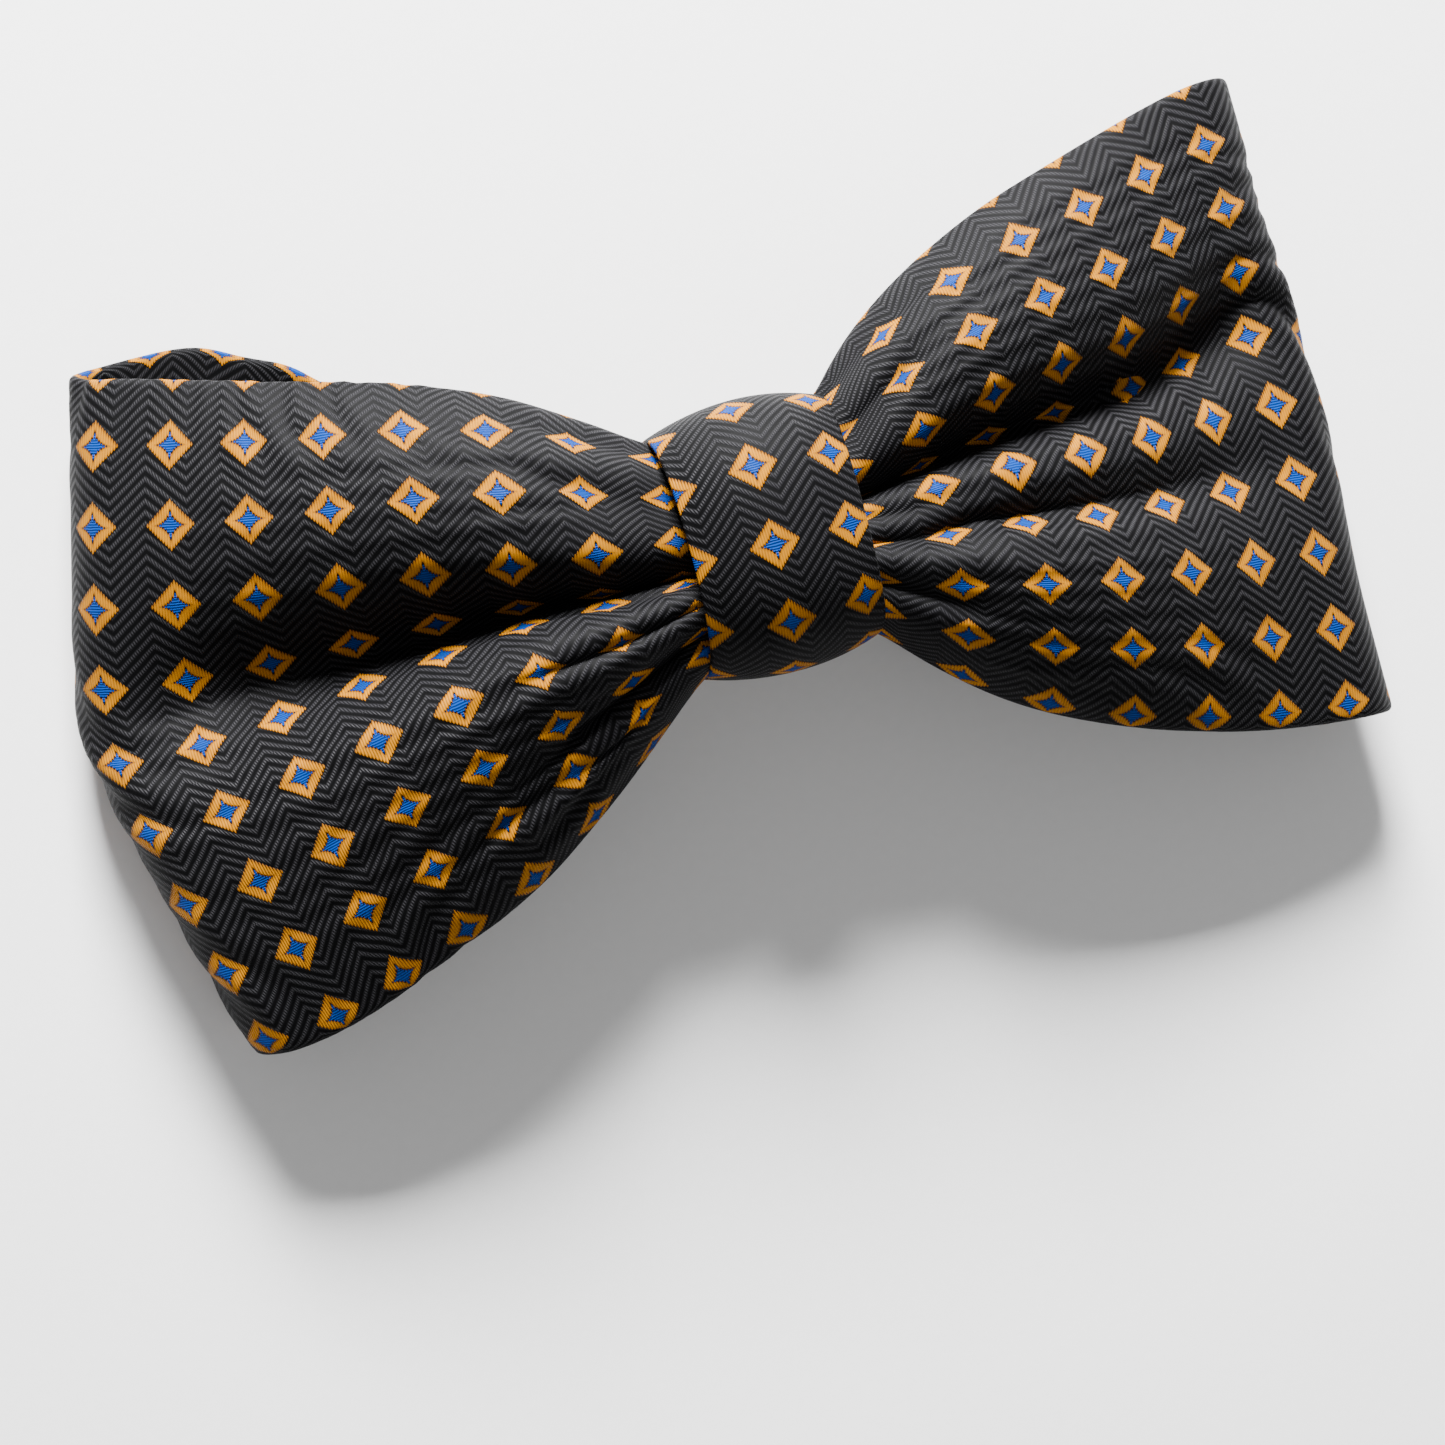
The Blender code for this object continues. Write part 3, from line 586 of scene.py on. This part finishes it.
def nickel():
    """Polished nickel plate with faint polishing lines and soft wear."""
    g = Graph("nickel_plate")
    place = g.node("ShaderNodeTexCoord").outputs["Object"]
    stretch = g.node("ShaderNodeMapping")
    stretch.inputs["Scale"].default_value = (6000, 300, 300)
    g.feed(stretch.inputs["Vector"], place)
    lines = g.noise(stretch.outputs["Vector"], 1.0, 2.0)
    cloud = g.noise(place, 260.0, 4.0)
    worn = g.ramp(cloud, 0.35, 0.75)
    tint = g.colour(worn, (0.71, 0.69, 0.66, 1), (0.62, 0.60, 0.57, 1))
    g.feed(g.shader.inputs["Base Color"], tint)
    g.shader.inputs["Metallic"].default_value = 1.0
    rough = g.add(0.14, g.add(g.mul(lines, 0.10), g.mul(cloud, 0.10)))
    g.feed(g.shader.inputs["Roughness"], rough)
    g.feed(g.shader.inputs["Normal"], g.bump(lines, 0.00001, 0.35))
    return g.material


def sewing_thread():
    """Black twisted sewing thread."""
    g = Graph("sewing_thread")
    place = g.node("ShaderNodeTexCoord").outputs["Object"]
    twist = g.node("ShaderNodeTexWave", wave_type="BANDS", bands_direction="DIAGONAL")
    twist.inputs["Scale"].default_value = 900
    twist.inputs["Distortion"].default_value = 1.5
    g.feed(twist.inputs["Vector"], place)
    fibre = g.noise(place, 2500.0, 2.0)
    amount = g.mul(g.add(twist.outputs["Fac"], fibre), 0.5)
    tint = g.colour(amount, (0.006, 0.006, 0.007, 1), (0.055, 0.053, 0.058, 1))
    g.feed(g.shader.inputs["Base Color"], tint)
    g.feed(g.shader.inputs["Roughness"], g.add(0.5, g.mul(fibre, 0.3)))
    g.feed(g.shader.inputs["Normal"], g.bump(amount, 0.00008, 0.8))
    g.shader.inputs["Sheen Weight"].default_value = 0.2
    return g.material


def paper():
    """The pale floor."""
    g = Graph("floor")
    place = g.node("ShaderNodeTexCoord").outputs["Object"]
    grain = g.noise(place, 900.0, 3.0)
    tint = g.colour(grain, (0.86, 0.86, 0.86, 1), (0.90, 0.90, 0.90, 1))
    g.feed(g.shader.inputs["Base Color"], tint)
    g.feed(g.shader.inputs["Normal"], g.bump(grain, 0.00005, 0.2))
    g.shader.inputs["Roughness"].default_value = 0.7
    return g.material


CLOTH, METAL, SEWING, FLOOR = jacquard(), nickel(), sewing_thread(), paper()


# --- the pieces --------------------------------------------------------------------------------
PATTERN_U, PATTERN_V = (0.0012, -0.0008), 0.0024  # where the diamonds sit: left and right, and across


def make_bow():
    """The strip of cloth folded into both wings, settled by the cloth solver."""
    target = laid_out_strip()
    grid, u = relax(target)
    v = np.linspace(-STRIP_WIDTH / 2, STRIP_WIDTH / 2, ACROSS)
    rings, v_ring = cloth_rings(grid, STRIP_HALF, v)
    tucked = u + np.where(u < 0, *PATTERN_U)  # the knot hides a small tuck in the strip
    mesh = ring_mesh("bow_cloth", rings, tucked, v_ring + PATTERN_V)
    bow = add_piece("bow_cloth", mesh, "bow", CLOTH)
    subdivide(bow)
    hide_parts("bow_shell", "bow_interlining")


KNOT_TURNS, KNOT_ROWS = 96, 33  # points round the knot, and rows from end to end
KNOT_THICK = 0.0009
KNOT_HEM = 0.0006  # how far the wrap's folded long edges curl inwards
KNOT_FRONT_POWER, KNOT_BACK_POWER = 2 / 2.35, 2 / 5.0  # the section: full in front, square behind
KNOT_SIDE_DROP = 0.0014  # how much narrower the knot's ends are than its middle, on each side
KNOT_FRONT_DROP = 0.0016  # how far the front of its ends lies below the CAD knot's top
KNOT_BULGE = 0.0024  # how far the front of its middle stands above that of its ends
KNOT_WAIST = 0.05  # share by which the wrap's front is narrower than its back
KNOT_PATTERN = (0.0010, -0.0014)  # where the diamonds sit on the knot: along X and round it


def knot_section(turn, half_y, low, high):
    """The knot's rounded section: squarer at the back, full at the front."""
    c, s = np.cos(turn), np.sin(turn)
    power = np.where(s > 0, KNOT_FRONT_POWER, KNOT_BACK_POWER)
    centre = mix(low, high, 0.5)
    y = half_y * np.sign(c) * np.abs(c) ** power
    z = centre + (high - low) / 2 * np.sign(s) * np.abs(s) ** power
    return y, z


def knot_surface():
    """Rows of points on the wrap's outer face, their distances round it, and its girth."""
    turn = np.linspace(0, math.tau, KNOT_TURNS, endpoint=False) - math.pi / 2
    half_x = knot_high.x - KNOT_HEM
    waist = 1 - KNOT_WAIST * np.clip(np.sin(turn), 0, 1)
    rows = []
    for t in np.linspace(-1, 1, KNOT_ROWS):
        fullness = 1 - t * t
        half_y = knot_high.y - KNOT_SIDE_DROP + KNOT_SIDE_DROP * fullness
        high = knot_high.z - KNOT_FRONT_DROP + KNOT_BULGE * fullness
        y, z = knot_section(turn, half_y, knot_low.z, high)
        rows.append(np.stack([t * half_x * waist, y, z], 1))
    outer = np.array(rows)
    middle = outer[KNOT_ROWS // 2]
    path = np.linalg.norm(np.roll(middle, -1, 0) - middle, axis=1)
    along = np.concatenate([[0], np.cumsum(path)[:-1]])
    return outer, along, float(path.sum())


def knot_profile(outer):
    """The wrap's closed profile, row by row: outer face, folded edge, inner face, folded edge."""
    inward = outer.mean(axis=1, keepdims=True) - outer
    inward[..., 0] = 0
    inward /= np.linalg.norm(inward, axis=2, keepdims=True)
    rims = []
    for sign, end in ((-1, 0), (1, -1)):
        rim = []
        for turn in (0.25, 0.6, 1.0):
            angle = turn * math.pi
            offset = inward[end] * KNOT_THICK * (1 - math.cos(angle)) / 2
            rim.append(outer[end] + offset + np.array([sign * KNOT_HEM * math.sin(angle), 0, 0]))
        rims.append(rim)
    inner = outer[1:-1] + inward[1:-1] * KNOT_THICK
    return np.array([*outer, *rims[1], *inner[::-1], *rims[0][::-1]])


def make_knot():
    """The knot: a puffy wrap of the same cloth, narrower at its ends, with folded edges."""
    outer, along, girth = knot_surface()
    profile = knot_profile(outer)
    count, turns = profile.shape[:2]
    faces = []
    for i in range(count):
        k = (i + 1) % count
        for j in range(turns):
            m = (j + 1) % turns
            faces.append((i * turns + j, i * turns + m, k * turns + m, k * turns + j))
    mesh = bpy.data.meshes.new("knot_cloth")
    mesh.from_pydata(profile.reshape(-1, 3).tolist(), [], faces)
    corners = np.array(faces).ravel()
    spot = (corners % turns).reshape(-1, 4)
    round_knot = along[spot]
    last = spot.max(axis=1) == turns - 1  # the faces that close the turn, at the back
    round_knot[last] = np.where(spot[last] == 0, girth, round_knot[last])
    us = (profile[..., 0].ravel()[corners] + KNOT_PATTERN[0]) / REPEAT_V
    vs = (round_knot.ravel() - along[turns // 2] + KNOT_PATTERN[1]) / REPEAT_V
    layer = mesh.uv_layers.new(name="cloth")
    layer.data.foreach_set("uv", np.stack([us, -vs], 1).ravel())
    mesh.shade_smooth()
    mesh.update()
    knot = add_piece("knot_cloth", mesh, "bow", CLOTH)
    subdivide(knot)
    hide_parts("knot_wrap", "knot_padding")


# The band's route repeats the CAD one: four flat runs on each side, through the knot between.
BAND_HALF = 0.0005  # half the band's thickness
BAND_SAG = 0.00008  # how far the middle of the band's width lies below its edges
BAND_HALF_WIDTH = 0.0070
LEVELS = (0.0018, 0.0065, 0.0083, 0.0101)  # heights of the four runs
BAND_REACH, UPPER_REACH = 0.0430, 0.0350  # where the lower and the upper pair of runs turn
BAND_SHORT_X = 0.0215  # where the band turns back near the knot
KNOT_BACK_Z, BAND_CLEARANCE = 0.0056, 0.0004  # the knot's back face; the band's gap to its wall
BAND_IN_KNOT_Z = KNOT_BACK_Z + KNOT_THICK + BAND_CLEARANCE + BAND_HALF
BAR_RADIUS = 0.00125
EYE_BAR_X, EYE_TAIL_X = -0.0165, -0.0275
HOOK_BAR_X, HOOK_TAIL_X = 0.0120, 0.0320
SLOPE_END_X = knot_high.x + 0.001
SLOPE_START_X = BAND_SHORT_X + 0.001


def u_turn(x, low, high, side, count=13):
    """A half circle in the XZ plane from height low to height high, bulging to `side`."""
    turns = np.linspace(0, math.pi, count)
    radius = (high - low) / 2
    return [(x + side * radius * math.sin(t), mix(low, high, 0.5 - 0.5 * math.cos(t))) for t in turns]


def folded_side():
    """(x, z) of the band on the +X side, from its lowest run up to the knot."""
    path = u_turn(BAND_REACH, LEVELS[0], LEVELS[1], 1)
    path += u_turn(BAND_SHORT_X, LEVELS[1], LEVELS[2], -1)
    path += u_turn(UPPER_REACH, LEVELS[2], LEVELS[3], 1)
    rise = LEVELS[3] - BAND_IN_KNOT_Z
    for t in np.linspace(0, 1, 13):
        x = mix(SLOPE_START_X, SLOPE_END_X, t)
        path.append((x, BAND_IN_KNOT_Z + rise * (1 - float(ease(t)))))
    return path


def dense(path, most=0.0015):
    """The path with its long runs split, so that no step is longer than `most`."""
    out = [path[0]]
    for a, b in zip(path, path[1:]):
        steps = max(1, math.ceil(math.dist(a, b) / most))
        out += [(mix(a[0], b[0], i / steps), mix(a[1], b[1], i / steps)) for i in range(1, steps + 1)]
    return out


def band_piece(name, path):
    """A length of the neckband along an XZ path, with rounded folded edges."""
    path = np.array(dense(path))
    v = np.linspace(-BAND_HALF_WIDTH + BAND_HALF, BAND_HALF_WIDTH - BAND_HALF, 15)
    grid = np.zeros((len(path), len(v), 3))
    grid[..., 0], grid[..., 1], grid[..., 2] = path[:, :1], v[None, :], path[:, 1:]
    grid[..., 2] -= BAND_SAG * (1 - (v / v[-1]) ** 2)[None, :]
    rings, v_ring = cloth_rings(grid, BAND_HALF, v)
    u = np.concatenate([[0], np.cumsum(np.linalg.norm(np.diff(path, axis=0), axis=1))])
    mesh = ring_mesh(name, rings, u, v_ring)
    piece = add_piece(name, mesh, None, CLOTH)
    return piece


def make_neckband():
    """The neckband, folded flat behind the bow, and its end that runs from the hook to the slider."""
    right = [(HOOK_BAR_X, LEVELS[0]), *folded_side()]
    left = [(EYE_BAR_X, LEVELS[0]), *((-x, z) for x, z in folded_side())]
    top = LEVELS[0] + 2 * BAR_RADIUS
    eye_end = [(EYE_TAIL_X, top), *u_turn(EYE_BAR_X, LEVELS[0], top, 1)[:0:-1]]
    band = band_piece("neckband_cloth", eye_end + left + right[::-1])
    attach(band, "bow")
    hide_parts("neckband", "neckband_interlining")
    hook_end = [*u_turn(HOOK_BAR_X, LEVELS[0], top, -1), (HOOK_TAIL_X, top)]
    tail = band_piece("neckband_return", hook_end)
    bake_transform(tail)


def dress_cad_nodes():
    """Materials of the CAD pieces that stay visible: metal fittings and sewing thread."""
    for name, node in frame["nodes"].items():
        if name in ("band_hook", "band_eye", "slide_adjuster"):
            look = METAL
        elif name.endswith("stitch") or name == "waist_binding":
            look = SEWING
        else:
            continue
        node.data.materials.clear()
        node.data.materials.append(look)


# --- floor, light and camera -------------------------------------------------------------------
CAMERA_AZIMUTH = -96.7  # degrees; the camera stands over the bow, a little to its left
CAMERA_ELEVATION = 82.2
CAMERA_ROLL = -15.0
CAMERA_DISTANCE = 0.320
CAMERA_TARGET = Vector((-0.0075, -0.0159, 0.010))
CAMERA_ANGLE = 24.2
FLOOR_SIZE = 12.0
SKY_STRENGTH = 0.32
LIGHT_AIM = Vector((0, 0, 0.01))  # the middle of the bow, where both softboxes point


def camera_axes():
    """The camera's right, up and backward directions."""
    azimuth, elevation, roll = map(math.radians, (CAMERA_AZIMUTH, CAMERA_ELEVATION, CAMERA_ROLL))
    level = math.cos(elevation)
    back = Vector((math.sin(azimuth) * level, -math.cos(azimuth) * level, math.sin(elevation)))
    right = (-back).cross(Vector((0, 1, 0))).normalized()
    up = right.cross(-back)
    turned = right * math.cos(roll) + up * math.sin(roll)
    return turned, up * math.cos(roll) - right * math.sin(roll), back


def make_camera():
    """The camera, aimed at the bow from its front."""
    right, up, back = camera_axes()
    data = bpy.data.cameras.new("camera")
    camera = bpy.data.objects.new("camera", data)
    bpy.context.scene.collection.objects.link(camera)
    data.sensor_fit = "HORIZONTAL"
    data.angle = math.radians(CAMERA_ANGLE)
    data.clip_start, data.clip_end = 0.01, 10
    turn = Matrix((right, up, back)).transposed().to_4x4()
    camera.matrix_world = Matrix.Translation(CAMERA_TARGET + back * CAMERA_DISTANCE) @ turn
    bpy.context.scene.camera = camera


def area_light(name, direction, distance, size, power):
    """A square softbox that shines on the bow from the given direction."""
    data = bpy.data.lights.new(name, "AREA")
    data.shape = "SQUARE"
    data.size = size
    data.energy = power
    light = bpy.data.objects.new(name, data)
    bpy.context.scene.collection.objects.link(light)
    way = direction.normalized()
    light.location = way * distance + LIGHT_AIM
    light.rotation_euler = (-way).to_track_quat("-Z", "Y").to_euler()


def make_studio():
    """A pale floor, a key softbox beyond the top of the view, and a weak fill."""
    bpy.ops.mesh.primitive_plane_add(size=FLOOR_SIZE, location=(0, 0, 0))
    floor = bpy.context.object
    floor.name = "floor"
    floor.data.materials.append(FLOOR)
    right, up, back = camera_axes()
    towards_key = up * 1.05 + back * 0.58 - right * 0.10
    towards_fill = back - up * 0.55 + right * 0.3
    area_light("key", towards_key, distance=0.6, size=0.20, power=32.0)
    area_light("fill", towards_fill, distance=0.9, size=0.6, power=1.2)
    world = bpy.data.worlds.new("studio")
    world.use_nodes = True
    background = world.node_tree.nodes["Background"]
    background.inputs["Color"].default_value = (1, 1, 1, 1)
    background.inputs["Strength"].default_value = SKY_STRENGTH
    bpy.context.scene.world = world


def clear_defaults():
    """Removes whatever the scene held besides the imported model."""
    keep = set(frame["nodes"].values()) | set(frame["bodies"].values())
    for thing in list(bpy.data.objects):
        if thing not in keep:
            bpy.data.objects.remove(thing)


clear_defaults()
make_camera()
make_knot()
make_bow()
make_neckband()
dress_cad_nodes()
make_studio()
